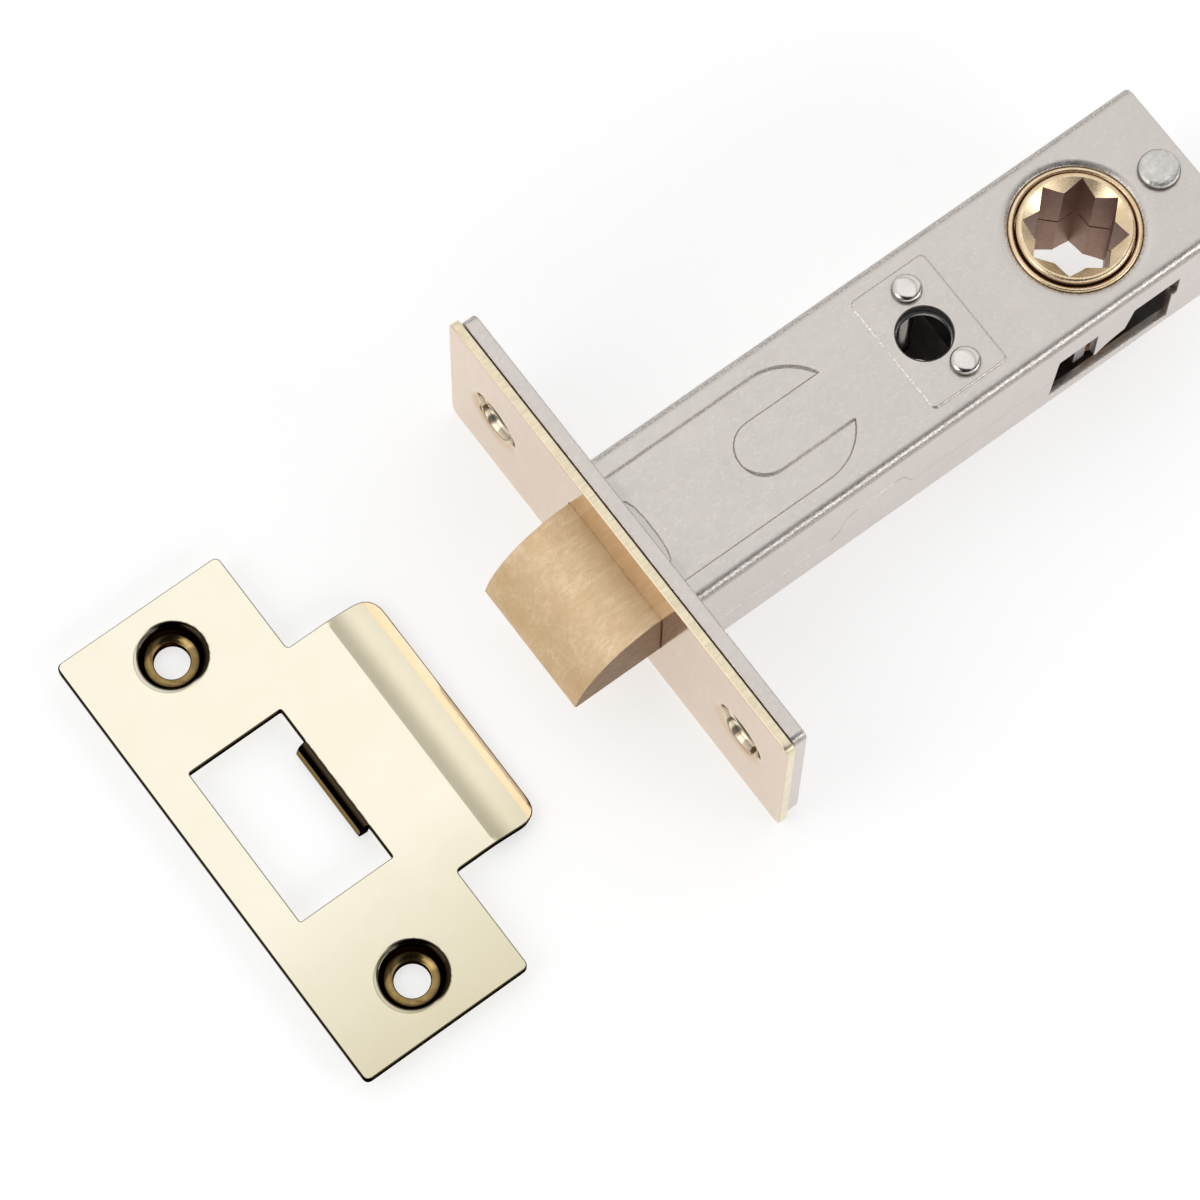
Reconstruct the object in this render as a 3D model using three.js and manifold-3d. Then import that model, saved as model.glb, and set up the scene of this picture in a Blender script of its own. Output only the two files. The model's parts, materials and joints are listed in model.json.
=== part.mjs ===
// Tubular mortice latch with a split follower, and its T-shaped strike plate lying in front of it.
// Millimetres, +Z up. The latch lies on its forend's long edge: +X runs from the strike plate
// through the forend to the open rear end of the case, and the broad faces of the case look up
// and down. Pieces of the latch are drawn about the middle of the forend's front face.
import * as THREE from "three";
import { mergeVertices } from "three/addons/utils/BufferGeometryUtils.js";
import Module from "manifold-3d";

const wasm = await Module();
wasm.setup();

// ---------------------------------------------------------------- driving dimensions
const FOREND = { length: 58, width: 25, thick: 1.15, corner: 1.0 }; // outer, brass
const BACKING = { length: 57, width: 24.4, thick: 1.7, corner: 1.0 }; // inner, steel
const SCREW = { pitch: 42.6, r: 2.1, sinkR: 3.7, sinkDepth: 1.5, lip: 0.55 };
const CASE = { width: 19.4, height: 16.7, wall: 1.0, corner: 1.3, end: 74.4 };
const PAD = { from: 35.6, to: 45.4, width: 14.8, rise: 0.13 };
const EMBOSS = { from: 3.9, depth: 0.25, halfWidth: 7.0, endX: 22.4, slot: 3.05, slotX: 19.1 };
const THROUGH = { x: 40, r: 3.0 }; // bolt-through way for the handles' fixing screws
const THROW = 11.0; // how far the bolt stands out, and how far it travels
const BOLT = { width: 16.0, height: 9.2, tail: 13.2, slot: 8.6, fit: 0.15 };
const SHOULDER = { from: 3.2, to: 8.0, width: 16.8, height: 14.2 };
const FOLLOWER = {
  x: 60, square: 8.0, hubR: 6.4, hubTo: 5.0, flangeR: 7.5, flangeTo: 6.55,
  journalR: 6.3, stand: 0.4, chamfer: 0.25, split: 0.15,
};
const HORN = { angle: 137, reach: 8.9, tipR: 0.75, from: 1.0, to: 4.2 };
const BUSH = { boreR: 6.42, bodyR: 7.05, flangeR: 8.2, flange: 0.6, holeR: 7.15, stand: 0.1 };
const YOKE = { thick: 1.2, width: 16.8, rail: 1.7, tongue: 3.6, from: 9.0, bridge: 13.6, bridgeTo: 15.4 };
const PIN = { x: 10.8, r: 1.2, half: 4.45 }; // joins the yoke to the bolt
const LUG = { from: 54.4, to: 55.9, height: 4.3, low: -4.7, high: 1.2 };
const MAIN_SPRING = { y: 0, flangeR: 2.9, flange: 0.9, rodR: 1.3, r: 2.0, wire: 0.7, turns: 7 };
const SIDE_SPRING = { y: 4.9, flangeR: 1.6, flange: 0.6, rodR: 0.65, r: 1.15, wire: 0.45, turns: 9 };
const GUIDE_TIP = { clear: 0.3, taper: 0.4, shrink: 0.3 };
const BRACKET = { from: 35.9, thick: 0.9, to: 45.4, width: 12.8, height: 14.5 };
const RIVET = { x: 41.5, y: 5.0, shankR: 1.2, headR: 1.65, headHeight: 0.7 };
const REAR_RIVET = { x: 71.1, shankR: 1.7, headR: 2.3, headHeight: 0.7 };
const STRIKE = {
  x: -40.8, y: 1.6, length: 55.8, width: 20.8, thick: 1.2, corner: 0.8,
  tabWidth: 30.2, tabFlat: 4.9, lipReach: 5.99, lipStart: 8, lipEnd: 18, lipCorner: 2.4,
  mouthLength: 20.0, mouthWidth: 11.8, screwPitch: 43.1, dimple: 2.2,
};
const TANG = { width: 11.4, inset: 0.25, bendR: 1.3, angle: 76, straight: 1.1 };

const GAP = 0.05; // between pieces that rest against each other
const PIN_FIT = 0.1; // round a pin or a rivet in its hole
const BEYOND = 20; // cutters reach past the latch on both sides
const ROUND = 32; // sides of a turned piece
const ORIGIN_X = (CASE.end + STRIKE.x - STRIKE.width / 2) / 2;
const ORIGIN_Z = FOREND.width / 2;

const material = (color, roughness, metalness = 1) =>
  new THREE.MeshStandardMaterial({ color, roughness, metalness });
const polishedBrass = material(0xe8c9a4, 0.12);
const paleBrass = material(0xf0e6c0, 0.1);
const brushedBrass = material(0xc9a878, 0.42);
const castBrass = material(0xd9b26c, 0.3);
const nickelSteel = material(0xcdc8c4, 0.38);
const plainSteel = material(0xb9b7b4, 0.4);
const springSteel = material(0x8f8f92, 0.35);

const radians = (degrees) => (degrees * Math.PI) / 180;

// ---------------------------------------------------------------- solids
// A closed three.js geometry as a solid that can be joined and cut.
function solid(geometry) {
  const bare = geometry.index ? geometry.toNonIndexed() : geometry.clone();
  bare.deleteAttribute("normal");
  bare.deleteAttribute("uv");
  const merged = mergeVertices(bare, 1e-4);
  return new wasm.Manifold(
    new wasm.Mesh({
      numProp: 3,
      vertProperties: merged.attributes.position.array,
      triVerts: new Uint32Array(merged.index.array),
    }),
  );
}

function geometryOf(body) {
  const mesh = body.getMesh();
  const geometry = new THREE.BufferGeometry();
  geometry.setAttribute("position", new THREE.BufferAttribute(mesh.vertProperties, 3));
  geometry.setIndex(new THREE.BufferAttribute(mesh.triVerts, 1));
  geometry.computeVertexNormals();
  return geometry;
}

function joined(...bodies) {
  return bodies.reduce((sum, body) => sum.add(body));
}

function cut(body, ...tools) {
  return tools.reduce((rest, tool) => rest.subtract(tool), body);
}

// An outline pushed along an axis between two places. The outline's own two directions are
// y, z for axis x; x, z for axis y; and x, y for axis z.
const PLANES = {
  x: new THREE.Matrix4().set(0, 0, 1, 0, 1, 0, 0, 0, 0, 1, 0, 0, 0, 0, 0, 1),
  y: new THREE.Matrix4().set(1, 0, 0, 0, 0, 0, -1, 0, 0, 1, 0, 0, 0, 0, 0, 1),
  z: new THREE.Matrix4(),
};

function prism(shape, axis, from, to, curveSegments = 3) {
  const depth = to - from;
  const geometry = new THREE.ExtrudeGeometry(shape, { depth, curveSegments, bevelEnabled: false });
  geometry.translate(0, 0, axis === "y" ? -to : from);
  return solid(geometry.applyMatrix4(PLANES[axis]));
}

// A profile of [radius, height] points, starting and ending on the axis, turned about +Z.
function turned(profile, x = 0, y = 0, sides = ROUND) {
  const points = profile.map(([r, z]) => new THREE.Vector2(r, z));
  const geometry = new THREE.LatheGeometry(points, sides);
  return solid(geometry.rotateX(Math.PI / 2).translate(x, y, 0));
}

// The same, turned about a line along +X.
function turnedAlongX(profile, y, z, sides = ROUND) {
  const points = profile.map(([r, x]) => new THREE.Vector2(r, x));
  const geometry = new THREE.LatheGeometry(points, sides);
  return solid(geometry.rotateZ(-Math.PI / 2).translate(0, y, z));
}

const disc = (r, from, to, x, y) => turned([[0, from], [r, from], [r, to], [0, to]], x, y);
const bore = (r, x, y = 0) => disc(r, -BEYOND, BEYOND, x, y);
const bracketRivetBores = () =>
  [-1, 1].map((side) => bore(RIVET.shankR + PIN_FIT, RIVET.x, side * RIVET.y));

// ---------------------------------------------------------------- outlines
function outline(points) {
  return new THREE.Shape(points.map(([u, v]) => new THREE.Vector2(u, v)));
}

function box(u0, u1, v0, v1) {
  return outline([[u0, v0], [u1, v0], [u1, v1], [u0, v1]]);
}

function roundedBox(u0, u1, v0, v1, r) {
  const shape = new THREE.Shape();
  shape.moveTo(u0 + r, v0);
  shape.lineTo(u1 - r, v0);
  shape.absarc(u1 - r, v0 + r, r, -Math.PI / 2, 0);
  shape.lineTo(u1, v1 - r);
  shape.absarc(u1 - r, v1 - r, r, 0, Math.PI / 2);
  shape.lineTo(u0 + r, v1);
  shape.absarc(u0 + r, v1 - r, r, Math.PI / 2, Math.PI);
  shape.lineTo(u0, v0 + r);
  shape.absarc(u0 + r, v0 + r, r, Math.PI, 1.5 * Math.PI);
  return shape;
}

const centred = (width, height, r) =>
  roundedBox(-width / 2, width / 2, -height / 2, height / 2, r);

// ---------------------------------------------------------------- forends
const backingFrom = FOREND.thick + GAP;
const backingTo = backingFrom + BACKING.thick;
const boltWay = box(
  -BOLT.width / 2 - BOLT.fit, BOLT.width / 2 + BOLT.fit,
  -BOLT.height / 2 - BOLT.fit, BOLT.height / 2 + BOLT.fit,
);

// Both screw places of a plate get the same turned shape, whose height runs along +X.
const atScrews = (pitch, profile) =>
  [-pitch / 2, pitch / 2].map((y) => turnedAlongX(profile, y, 0));

// The thin brass plate is dimpled at its screw holes, and the dimples sit in the backing plate.
function outerForend() {
  const plate = prism(centred(FOREND.length, FOREND.width, FOREND.corner), "x", 0, FOREND.thick);
  const { r, sinkR, sinkDepth, lip, pitch } = SCREW;
  const dimple = [[0, 0], [sinkR + lip, 0], [r + lip, sinkDepth + lip], [0, sinkDepth + lip]];
  const sink = [[0, -0.1], [sinkR + 0.1, -0.1], [r, sinkDepth], [r, 5], [0, 5]];
  const body = joined(plate, ...atScrews(pitch, dimple));
  return cut(body, prism(boltWay, "x", -1, BEYOND), ...atScrews(pitch, sink));
}

// The case's front end passes through the backing plate, up to the back of the brass plate.
function innerForend() {
  const shape = centred(BACKING.length, BACKING.width, BACKING.corner);
  const plate = prism(shape, "x", backingFrom, backingTo);
  const room = SCREW.lip + 0.15;
  const seat = [
    [0, -1], [SCREW.sinkR + room + 0.5, -1], [SCREW.sinkR + room, 0],
    [SCREW.r + room, SCREW.sinkDepth + SCREW.lip], [SCREW.r + room, 5], [0, 5],
  ];
  const caseWay = centred(CASE.width + 2 * GAP, CASE.height + 2 * GAP, CASE.corner);
  return cut(plate, prism(caseWay, "x", -1, 5), ...atScrews(SCREW.pitch, seat));
}

// ---------------------------------------------------------------- case
// The sunk fork on the broad faces: a round-ended field with a round-ended island left in it.
function forkOutline() {
  const { from, halfWidth, endX, slot, slotX } = EMBOSS;
  const mouth = Math.asin(slot / halfWidth);
  const shape = new THREE.Shape();
  shape.moveTo(from, -halfWidth);
  shape.lineTo(endX, -halfWidth);
  shape.absarc(endX, 0, halfWidth, -Math.PI / 2, -mouth);
  shape.lineTo(slotX, -slot);
  shape.absarc(slotX, 0, slot, -Math.PI / 2, Math.PI / 2, true);
  shape.lineTo(endX + halfWidth * Math.cos(mouth), slot);
  shape.absarc(endX, 0, halfWidth, mouth, Math.PI / 2);
  shape.lineTo(from, halfWidth);
  return shape;
}

// The window in the near wall, where the yoke's lug travels: a tall end at the horns, a low slit
// under a tongue of the wall, and a tall end where the retracted lug stops.
function nearWindow() {
  const shape = new THREE.Shape();
  shape.moveTo(50.3, -5.2);
  shape.lineTo(60.2, -5.6);
  shape.lineTo(66.3, -5.9);
  shape.lineTo(66.3, 0.2);
  shape.lineTo(66.6, -0.4);
  shape.lineTo(67.0, -0.2);
  shape.lineTo(67.0, 3.4);
  shape.lineTo(60.9, 3.4);
  shape.lineTo(60.0, -0.4);
  shape.quadraticCurveTo(57.6, -0.8, 56.1, -2.5);
  shape.lineTo(56.1, 3.4);
  shape.lineTo(50.9, 3.4);
  return shape;
}

function caseTube() {
  const { width, height, wall, corner, end } = CASE;
  const tube = prism(centred(width, height, corner), "x", backingFrom, end);
  const hollow = prism(centred(width - 2 * wall, height - 2 * wall, corner - 0.8), "x", 0, end + 1);
  const padShape = box(PAD.from, PAD.to, -PAD.width / 2, PAD.width / 2);
  const top = height / 2;
  const pads = prism(padShape, "z", -top - PAD.rise, top + PAD.rise);
  const fork = forkOutline();
  const ways = [
    bore(THROUGH.r, THROUGH.x),
    bore(BUSH.holeR, FOLLOWER.x),
    bore(REAR_RIVET.shankR + PIN_FIT, REAR_RIVET.x),
    ...bracketRivetBores(),
  ];
  return cut(
    joined(tube, pads),
    hollow,
    prism(fork, "z", top - EMBOSS.depth, top + 1, 7),
    prism(fork, "z", -top - 1, -top + EMBOSS.depth, 7),
    ...ways,
    prism(nearWindow(), "y", -width / 2 - 1, -width / 2 + wall + 1),
    prism(roundedBox(50.3, 67.0, -5.2, 5.2, 0.8), "y", width / 2 - wall - 1, width / 2 + 1),
  );
}

// ---------------------------------------------------------------- bolt and yoke
const slotHalf = YOKE.thick / 2 + BOLT.fit;

// The bevel is one arc, level where it leaves the forend and nearly upright at the tip.
function boltHead() {
  const half = BOLT.height / 2;
  const bevelR = (THROW * THROW + BOLT.height * BOLT.height) / (2 * BOLT.height);
  const tipAngle = Math.PI / 2 + Math.asin(THROW / bevelR);
  const head = new THREE.Shape();
  head.moveTo(-THROW, -half);
  head.lineTo(BOLT.tail, -half);
  head.lineTo(BOLT.tail, -slotHalf);
  head.lineTo(BOLT.slot, -slotHalf);
  head.lineTo(BOLT.slot, slotHalf);
  head.lineTo(BOLT.tail, slotHalf);
  head.lineTo(BOLT.tail, half);
  head.lineTo(0, half);
  head.absarc(0, half - bevelR, bevelR, Math.PI / 2, tipAngle);
  const { from, to, width, height } = SHOULDER;
  return cut(
    joined(
      prism(head, "y", -BOLT.width / 2, BOLT.width / 2, 8),
      prism(box(from, to, -height / 2, height / 2), "y", -width / 2, width / 2),
    ),
    bore(PIN.r + PIN_FIT, PIN.x),
  );
}

function boltYoke() {
  const { thick, width, rail, tongue, from, bridge, bridgeTo } = YOKE;
  const y = width / 2;
  const inner = y - rail;
  const plate = outline([
    [from, -tongue], [bridge, -tongue], [bridge, -y], [LUG.to, -y], [LUG.to, -inner],
    [bridgeTo, -inner], [bridgeTo, inner], [LUG.to, inner], [LUG.to, y], [bridge, y],
    [bridge, tongue], [from, tongue],
  ]);
  return cut(
    joined(
      prism(plate, "z", -thick / 2, thick / 2),
      prism(box(LUG.from, LUG.to, inner, y), "z", -LUG.height, LUG.height),
      prism(box(LUG.from, LUG.to, -y, -inner), "z", LUG.low, LUG.high),
    ),
    bore(PIN.r + PIN_FIT, PIN.x),
  );
}

const yokePin = () => disc(PIN.r, -PIN.half, PIN.half, PIN.x, 0);

// ---------------------------------------------------------------- springs and their guides
const springNear = YOKE.bridgeTo + 2 * GAP;
const springFar = BRACKET.from - 2 * GAP;

// A flanged rod that keeps its spring straight, and stops short of the bracket when drawn back.
function springGuide({ y, flangeR, flange, rodR }, side = 1) {
  const seat = springNear + flange;
  const end = springFar - THROW - GUIDE_TIP.clear;
  const profile = [
    [0, springNear], [flangeR, springNear], [flangeR, seat], [rodR, seat],
    [rodR, end - GUIDE_TIP.taper], [rodR - GUIDE_TIP.shrink, end], [0, end],
  ];
  return turnedAlongX(profile, side * y, 0, 24);
}

class Helix extends THREE.Curve {
  constructor(from, to, y, r, turns) {
    super();
    Object.assign(this, { from, to, y, r, turns });
  }
  getPoint(t, target = new THREE.Vector3()) {
    const a = 2 * Math.PI * this.turns * t;
    const x = this.from + (this.to - this.from) * t;
    return target.set(x, this.y + this.r * Math.cos(a), this.r * Math.sin(a));
  }
}

function coilSpring({ y, flange, r, wire, turns }, side = 1) {
  const from = springNear + flange + wire;
  const path = new Helix(from, springFar - wire, side * y, r, turns);
  const section = new THREE.Shape();
  section.absarc(0, 0, wire / 2, 0, 2 * Math.PI);
  const geometry = new THREE.ExtrudeGeometry(section, {
    steps: turns * 10, curveSegments: 3, bevelEnabled: false, extrudePath: path,
  });
  return solid(geometry);
}

// ---------------------------------------------------------------- spring bracket and rivets
// A channel whose web takes the springs' thrust and whose flanges lie under the raised pads.
function springBracket() {
  const { from, thick, to, width, height } = BRACKET;
  const z = height / 2;
  const channel = outline([
    [from, -z], [to, -z], [to, thick - z], [from + thick, thick - z],
    [from + thick, z - thick], [to, z - thick], [to, z], [from, z],
  ]);
  return cut(
    prism(channel, "y", -width / 2, width / 2),
    bore(THROUGH.r - PIN_FIT, THROUGH.x),
    ...bracketRivetBores(),
  );
}

// A pillar rivet right through the case, with a low crowned head on each broad face.
function pillarRivet({ x, shankR, headR, headHeight }, y, seat) {
  const under = seat + GAP;
  const crown = under + headHeight;
  const upper = [
    [shankR, under], [headR, under], [headR, under + 0.35 * headHeight],
    [0.9 * headR, under + 0.75 * headHeight], [0.66 * headR, crown], [0, crown],
  ];
  const lower = upper.map(([r, z]) => [r, -z]).reverse();
  return turned([...lower, ...upper], x, y, 24);
}

// ---------------------------------------------------------------- follower
// Half of the split follower, drawn for the upper side: hub, flange, journal, and two horns.
function followerHalf() {
  const { hubR, hubTo, flangeR, flangeTo, journalR, stand, chamfer, split, square } = FOLLOWER;
  const top = CASE.height / 2 + stand;
  const hub = turned([
    [0, split], [hubR, split], [hubR, hubTo], [flangeR, hubTo], [flangeR, flangeTo],
    [journalR, flangeTo], [journalR, top - chamfer], [journalR - chamfer, top], [0, top],
  ]);
  const star = new THREE.Shape();
  const tipR = square / Math.SQRT2;
  const rootR = square / 2 / Math.cos(Math.PI / 8);
  for (let i = 0; i < 16; i += 1) {
    const r = i % 2 ? rootR : tipR;
    const a = (i * Math.PI) / 8;
    const point = [r * Math.cos(a), r * Math.sin(a)];
    if (i) star.lineTo(...point);
    else star.moveTo(...point);
  }
  const body = joined(hub, horn(1), horn(-1));
  return cut(body, prism(star, "z", -1, 20));
}

// A horn leans forward and out from the hub; its driving flank is hollowed to clear the lug.
function horn(side) {
  const { reach, tipR, from, to, angle } = HORN;
  const shape = new THREE.Shape();
  const tipStart = Math.PI + Math.acos(0.4 / tipR);
  shape.moveTo(5.0, 2.8);
  shape.lineTo(5.6, 0.2);
  shape.lineTo(7.4, -0.15);
  shape.lineTo(reach - 0.4, tipR * Math.sin(tipStart));
  shape.absarc(reach, 0, tipR, tipStart, 2.5 * Math.PI);
  const geometry = new THREE.ExtrudeGeometry(shape, {
    depth: to - from, curveSegments: 4, bevelEnabled: false,
  });
  geometry.translate(0, 0, from);
  if (side < 0) geometry.rotateX(Math.PI).translate(0, 0, from + to);
  return solid(geometry.rotateZ(side * radians(angle)));
}

function followerBush() {
  const { boreR, bodyR, flangeR, flange, stand } = BUSH;
  const top = CASE.height / 2 + stand;
  const seat = CASE.height / 2 - CASE.wall - GAP;
  const ring = turned([
    [0, seat - flange], [flangeR, seat - flange], [flangeR, seat], [bodyR, seat],
    [bodyR, top], [0, top],
  ]);
  return cut(ring, bore(boreR, 0));
}

// ---------------------------------------------------------------- strike plate
// Drawn about the middle of the plate, with the lip along +X and its free end on the ground.
const lipStart = radians(STRIKE.lipStart);
const lipEnd = radians(STRIKE.lipEnd);
const lipR = STRIKE.lipReach / (Math.sin(lipEnd) - Math.sin(lipStart));
const strikeFace = lipR * Math.cos(lipStart) - (lipR - STRIKE.thick) * Math.cos(lipEnd);

// A strip of the plate's thickness seen from its edge: flat, then turned down from one angle to
// another round an arc, then straight.
function bentStrip(flatFrom, bendX, outerR, startAngle, endAngle, straight) {
  const innerR = outerR - STRIKE.thick;
  const centreX = bendX - outerR * Math.sin(startAngle);
  const centreZ = strikeFace - outerR * Math.cos(startAngle);
  const start = Math.PI / 2 - startAngle;
  const end = Math.PI / 2 - endAngle;
  const run = [straight * Math.sin(end), -straight * Math.cos(end)];
  const at = (r, move) => [
    centreX + r * Math.cos(end) + move * run[0],
    centreZ + r * Math.sin(end) + move * run[1],
  ];
  const shape = new THREE.Shape();
  shape.moveTo(flatFrom, strikeFace - STRIKE.thick);
  shape.absarc(centreX, centreZ, innerR, start, end, true);
  if (straight) {
    shape.lineTo(...at(innerR, 1));
    shape.lineTo(...at(outerR, 1));
  }
  shape.lineTo(...at(outerR, 0));
  shape.absarc(centreX, centreZ, outerR, end, start);
  shape.lineTo(flatFrom, strikeFace);
  return shape;
}

function lipTab() {
  const { width, tabWidth, tabFlat, lipReach, lipCorner } = STRIKE;
  const bendX = width / 2 + tabFlat;
  const half = tabWidth / 2;
  const strip = bentStrip(width / 2 - 1, bendX, lipR, lipStart, lipEnd, 0);
  const trim = roundedBox(0, bendX + lipReach, -half, half, lipCorner);
  return prism(strip, "y", -half, half, 6).intersect(prism(trim, "z", -BEYOND, BEYOND));
}

// The tang bends down from the mouth's edge on the lip's side, towards -X.
function mouthTang() {
  const { width, inset, bendR, angle, straight } = TANG;
  const bendX = -STRIKE.mouthWidth / 2 - inset;
  const strip = bentStrip(bendX - 1, bendX, bendR, 0, radians(angle), straight);
  const tang = prism(strip, "y", -width / 2, width / 2);
  return solid(geometryOf(tang).rotateZ(Math.PI));
}

function strikePlate() {
  const { width, length, thick, corner, mouthWidth, mouthLength, screwPitch, dimple } = STRIKE;
  const { r, sinkR, lip } = SCREW;
  const face = strikeFace;
  const back = face - thick;
  const low = face - dimple;
  const cone = [[0, low], [r + lip, low], [sinkR + lip, back + GAP], [0, back + GAP]];
  const sink = [
    [0, low - 1], [r, low - 1], [r, low + lip], [sinkR, face], [sinkR, face + 1], [0, face + 1],
  ];
  const atBoth = (profile) => [-1, 1].map((side) => turned(profile, 0, (side * screwPitch) / 2));
  const plate = prism(centred(width, length, corner), "z", back, face);
  const mouth = prism(centred(mouthWidth, mouthLength, corner / 2), "z", -BEYOND, BEYOND);
  return joined(cut(joined(plate, lipTab(), ...atBoth(cone)), mouth, ...atBoth(sink)), mouthTang());
}

// ---------------------------------------------------------------- assembly
const latch = new THREE.Group();
latch.position.set(-ORIGIN_X, 0, ORIGIN_Z);

function piece(name, body, look, parent = latch) {
  const mesh = new THREE.Mesh(geometryOf(body), look);
  mesh.name = name;
  parent.add(mesh);
  return mesh;
}

piece("outer_forend", outerForend(), polishedBrass);
piece("inner_forend", innerForend(), nickelSteel);
piece("case_tube", caseTube(), nickelSteel);
piece("bolt_head", boltHead(), brushedBrass);
piece("bolt_yoke", boltYoke(), plainSteel);
piece("yoke_pin", yokePin(), plainSteel);
piece("bolt_spring_guide", springGuide(MAIN_SPRING), plainSteel);
piece("bolt_spring", coilSpring(MAIN_SPRING), springSteel);
for (const [label, side] of [["left", 1], ["right", -1]]) {
  piece(`side_spring_guide_${label}`, springGuide(SIDE_SPRING, side), plainSteel);
  piece(`side_spring_${label}`, coilSpring(SIDE_SPRING, side), springSteel);
}
piece("spring_bracket", springBracket(), plainSteel);
const padTop = CASE.height / 2 + PAD.rise;
piece("bracket_rivet_left", pillarRivet(RIVET, RIVET.y, padTop), nickelSteel);
piece("bracket_rivet_right", pillarRivet(RIVET, -RIVET.y, padTop), nickelSteel);
piece("rear_rivet", pillarRivet(REAR_RIVET, 0, CASE.height / 2), nickelSteel);

for (const [label, turn] of [["upper", 0], ["lower", Math.PI]]) {
  const side = new THREE.Group();
  side.position.x = FOLLOWER.x;
  side.rotation.x = turn;
  latch.add(side);
  piece(`follower_${label}`, followerHalf(), castBrass, side);
  piece(`follower_bush_${label}`, followerBush(), castBrass, side);
}

const strike = new THREE.Group();
strike.position.set(STRIKE.x - ORIGIN_X, STRIKE.y, 0);
piece("strike_plate", strikePlate(), paleBrass, strike);

const part = new THREE.Group();
part.name = "tubular_latch";
part.add(latch, strike);

export default part;
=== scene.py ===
import json
import math

import bpy
import bmesh
import numpy as np
from mathutils import Matrix, Quaternion, Vector
from mathutils.geometry import delaunay_2d_cdt
from mathutils.kdtree import KDTree


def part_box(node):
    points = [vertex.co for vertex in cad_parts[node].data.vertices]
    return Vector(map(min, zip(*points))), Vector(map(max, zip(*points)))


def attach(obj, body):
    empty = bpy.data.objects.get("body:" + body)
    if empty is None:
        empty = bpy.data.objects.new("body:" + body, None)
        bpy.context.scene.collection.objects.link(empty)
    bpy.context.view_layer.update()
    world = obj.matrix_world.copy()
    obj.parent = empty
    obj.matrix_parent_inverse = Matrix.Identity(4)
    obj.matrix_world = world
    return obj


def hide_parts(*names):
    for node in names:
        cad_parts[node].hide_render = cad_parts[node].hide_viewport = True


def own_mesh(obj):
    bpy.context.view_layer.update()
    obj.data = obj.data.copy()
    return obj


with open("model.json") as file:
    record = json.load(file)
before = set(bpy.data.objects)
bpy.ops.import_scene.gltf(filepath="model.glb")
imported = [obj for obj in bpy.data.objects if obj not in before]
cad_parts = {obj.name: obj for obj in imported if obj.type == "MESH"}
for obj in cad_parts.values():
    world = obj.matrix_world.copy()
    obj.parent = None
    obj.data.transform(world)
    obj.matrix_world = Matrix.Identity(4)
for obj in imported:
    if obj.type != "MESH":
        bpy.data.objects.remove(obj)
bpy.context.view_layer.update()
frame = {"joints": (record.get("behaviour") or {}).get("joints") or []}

# A tubular mortice latch with a split follower, and its T-shaped strike plate.
# Lengths are in millimetres from the middle of the forend's front face, +X towards the rear of
# the case, +Z out of the case's upper broad face. MM turns them into the frame's metres.

MM = 0.001
_low, _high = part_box("outer_forend")
ORIGIN = Vector((_low.x, 0.0, (_low.z + _high.z) / 2))


def mm_box(node):
    """The lowest and highest corners of a CAD node, in this script's millimetres."""
    low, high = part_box(node)
    return (low - ORIGIN) / MM, (high - ORIGIN) / MM


FOREND_LOW, FOREND_HIGH = mm_box("outer_forend")
BACKING_LOW, BACKING_HIGH = mm_box("inner_forend")
CASE_LOW, CASE_HIGH = mm_box("case_tube")
HEAD_LOW, HEAD_HIGH = mm_box("bolt_head")
YOKE_HIGH = mm_box("bolt_yoke")[1]
STRIKE_LOW, STRIKE_HIGH = mm_box("strike_plate")
TURN = next(j for j in frame["joints"] if j["name"] == "upper_follower_turn")
SLIDE = next(j for j in frame["joints"] if j["name"] == "bolt_slide")
FOLLOWER_X = (TURN["pos_m"][0] - ORIGIN.x) / MM
THROW = SLIDE["range_m"][1] / MM

SCREW_Y, SCREW_HOLE_R = 21.3, 1.95
CASE_Y, CASE_Z, CASE_CORNER = CASE_HIGH.y, 8.35, 1.3
WALL = 1.0
FOREND_PLATE = 1.05
PAD_X0, PAD_X1, PAD_Y, PAD_RISE, PAD_CORNER = 35.6, 45.4, 7.4, 0.13, 0.7
EMBOSS_DEPTH = 0.25
THROUGH_X, THROUGH_R = 40.0, 3.0
HOLE_R = 7.15  # the case's holes for the follower's bushes
RIVET_X, RIVET_Y, RIVET_HOLE_R = 41.5, 5.0, 1.3
REAR_RIVET_X, REAR_RIVET_HOLE_R = 71.1, 1.8
BOLT_Y, BOLT_Z = 8.0, 4.6
PIN_X, PIN_R, PIN_HALF, PIN_HOLE_R = 10.8, 1.2, 4.45, 1.3


# ---- outlines and profiles
def arc(cx, cy, r, start, end, steps):
    """Points on an arc, from one angle to another in degrees."""
    angles = np.radians(np.linspace(start, end, steps + 1))
    return [(cx + r * math.cos(a), cy + r * math.sin(a)) for a in angles]


def circle(cx, cy, r, steps=48):
    return arc(cx, cy, r, 0, 360, steps)[:-1]


def rounded_box(u0, u1, v0, v1, r, steps=6):
    return (arc(u1 - r, v0 + r, r, -90, 0, steps) + arc(u1 - r, v1 - r, r, 0, 90, steps)
            + arc(u0 + r, v1 - r, r, 90, 180, steps) + arc(u0 + r, v0 + r, r, 180, 270, steps))


def filleted(points, r, closed=True, steps=3):
    """The same outline with every corner rounded to r, or less where its sides are short."""
    points = [Vector(p) for p in points]
    out = []
    for i, p in enumerate(points):
        if not closed and i in (0, len(points) - 1):
            out.append(tuple(p))
            continue
        a, b = points[i - 1] - p, points[(i + 1) % len(points)] - p
        turn = math.pi - a.angle(b)
        if turn < math.radians(20):
            out.append(tuple(p))
            continue
        reach = min(r * math.tan(turn / 2), 0.45 * a.length, 0.45 * b.length)
        start, end = p + a.normalized() * reach, p + b.normalized() * reach
        for k in range(steps + 1):
            t = k / steps
            q = start.lerp(p, t).lerp(p.lerp(end, t), t)
            out.append(tuple(q))
    return out


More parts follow.
